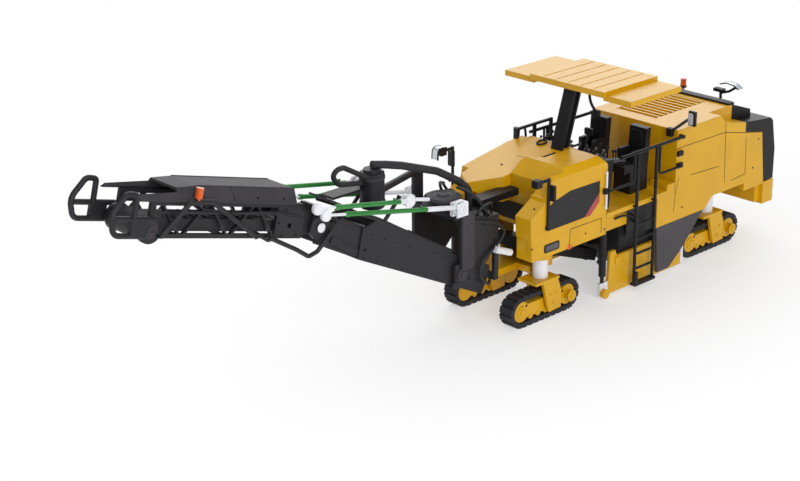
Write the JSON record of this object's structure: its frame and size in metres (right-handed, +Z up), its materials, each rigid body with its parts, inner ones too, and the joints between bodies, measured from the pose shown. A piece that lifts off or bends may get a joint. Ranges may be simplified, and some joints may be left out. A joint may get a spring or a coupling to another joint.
{
  "type": "cold planer milling machine",
  "caption": "Die-cast scale model of a cold planer: tracked chassis with milling drum, canopied platform and a slewing, lifting, folding discharge conveyor.",
  "frame": {"origin": "on the ground, midway between the left and right tracks and 17.5 mm behind the middle of the front deck plate's rear edge", "axes": "+X forward, towards the discharge conveyor's tip; +Y to the machine's left; +Z up"},
  "size_m": [0.2956, 0.0582, 0.086],
  "materials": {
    "yellow_paint": "satin enamel over die-cast zinc",
    "cowl_plastic": "moulded, self-coloured",
    "dark_plastic": "moulded, self-coloured",
    "black_paint": "satin enamel over die-cast zinc",
    "track_rubber": "moulded in one loop",
    "belt_rubber": "smooth moulded",
    "white_plastic": "moulded, self-coloured",
    "green_plastic": "moulded, self-coloured",
    "drum_metal": "satin enamel over die-cast zinc",
    "amber_plastic": "clear-coated moulding",
    "lamp_plastic": "moulded"
  },
  "bodies": {
    "chassis": {"beacon_rear": "amber_plastic", "canopy_post": "dark_plastic", "canopy_roof": "yellow_paint", "control_consoles": "dark_plastic", "drum_chamber": "dark_plastic", "feed_conveyor": "dark_plastic", "front_body": "yellow_paint", "front_deck": "yellow_paint", "hood_louvres": "yellow_paint", "ladders": "dark_plastic", "leg_columns": "white_plastic", "main_frame": "yellow_paint", "mirrors": "dark_plastic", "operator_seats": "dark_plastic", "platform": "yellow_paint", "platform_rails": "dark_plastic", "rear_bumper": "yellow_paint", "rear_cowl": "cowl_plastic", "rear_hood": "yellow_paint", "rear_lamp": "lamp_plastic", "recess_liner": "dark_plastic", "side_covers": "dark_plastic", "side_plate_cylinders": "dark_plastic", "side_plates": "yellow_paint", "skid_brackets": "white_plastic", "skid_wheels": "yellow_paint", "slew_bracket": "yellow_paint", "slew_top_bracket": "dark_plastic"},
    "drum": {"milling_drum": "drum_metal"},
    "turret": {"conveyor_turret": "black_paint", "dust_fan": "black_paint", "suction_hose": "belt_rubber", "lift_clevises": "white_plastic", "slew_cylinders": "white_plastic"},
    "inner_section": {"inner_frame": "black_paint", "inner_belt": "belt_rubber", "inner_cover": "black_paint", "fold_links": "white_plastic"},
    "outer_section": {"outer_frame": "black_paint", "outer_belt": "belt_rubber", "outer_cover": "black_paint", "tip_guards": "black_paint", "conveyor_beacon": "amber_plastic"},
    "lift_barrel_pair": {"lift_barrels": "green_plastic"},
    "lift_rod_pair": {"lift_rods": "white_plastic"},
    "fold_barrel_pair": {"fold_barrels": "green_plastic"},
    "fold_rod_pair": {"fold_rods": "white_plastic"},
    "steered_front_left": {"track_frame_front_left": "yellow_paint", "track_front_left": "track_rubber"},
    "steered_front_right": {"track_frame_front_right": "yellow_paint", "track_front_right": "track_rubber"},
    "steered_rear_left": {"track_frame_rear_left": "yellow_paint", "track_rear_left": "track_rubber"},
    "steered_rear_right": {"track_frame_rear_right": "yellow_paint", "track_rear_right": "track_rubber"}
  },
  "joints": [
    {"name": "steer_front_left", "type": "hinge", "parent": "chassis", "child": "steered_front_left", "pos_m": [0.05, 0.0134, 0.0152], "axis": [0, 0, 1], "range_deg": [-15, 15]},
    {"name": "steer_front_right", "type": "hinge", "parent": "chassis", "child": "steered_front_right", "pos_m": [0.05, -0.0134, 0.0152], "axis": [0, 0, 1], "range_deg": [-15, 15]},
    {"name": "steer_rear_left", "type": "hinge", "parent": "chassis", "child": "steered_rear_left", "pos_m": [-0.0425, 0.0134, 0.0152], "axis": [0, 0, 1], "range_deg": [-15, 15]},
    {"name": "steer_rear_right", "type": "hinge", "parent": "chassis", "child": "steered_rear_right", "pos_m": [-0.0425, -0.0134, 0.0152], "axis": [0, 0, 1], "range_deg": [-15, 15]},
    {"name": "drum_spin", "type": "hinge", "parent": "chassis", "child": "drum", "pos_m": [-0.001, 0, 0.012], "axis": [0, 1, 0], "continuous": true},
    {"name": "conveyor_slew", "type": "hinge", "parent": "chassis", "child": "turret", "pos_m": [0.0665, 0, 0.03], "axis": [0, 0, 1], "range_deg": [-48, 48]},
    {"name": "conveyor_lift", "type": "hinge", "parent": "turret", "child": "inner_section", "pos_m": [0.085, 0, 0.025], "axis": [0, -1, 0], "range_deg": [-15, 4]},
    {"name": "lift_barrel_tilt", "type": "hinge", "parent": "turret", "child": "lift_barrel_pair", "pos_m": [0.0876, 0, 0.0494], "axis": [0, -1, 0], "range_deg": [-17, 5]},
    {"name": "lift_rod_slide", "type": "slide", "parent": "lift_barrel_pair", "child": "lift_rod_pair", "axis": [0.9777, 0, 0.2102], "range_m": [-0.0022, 0.007]},
    {"name": "conveyor_fold", "type": "hinge", "parent": "inner_section", "child": "outer_section", "pos_m": [0.14402, 0, 0.05698], "axis": [0, -1, 0], "range_deg": [-28, 5]},
    {"name": "fold_barrel_tilt", "type": "hinge", "parent": "inner_section", "child": "fold_barrel_pair", "pos_m": [0.11069, 0, 0.05807], "axis": [0, -1, 0], "range_deg": [-6, 1.5]},
    {"name": "fold_rod_slide", "type": "slide", "parent": "fold_barrel_pair", "child": "fold_rod_pair", "axis": [0.9824, 0, 0.1867], "range_m": [-0.0008, 0.0034]}
  ],
  "couplings": [
    {"joint": "lift_barrel_tilt", "follows": "conveyor_lift", "ratio": 1.085},
    {"joint": "lift_rod_slide", "follows": "conveyor_lift", "m_per_rad": -0.023606},
    {"joint": "fold_barrel_tilt", "follows": "conveyor_fold", "ratio": 0.18},
    {"joint": "fold_rod_slide", "follows": "conveyor_fold", "m_per_rad": -0.006188}
  ]
}
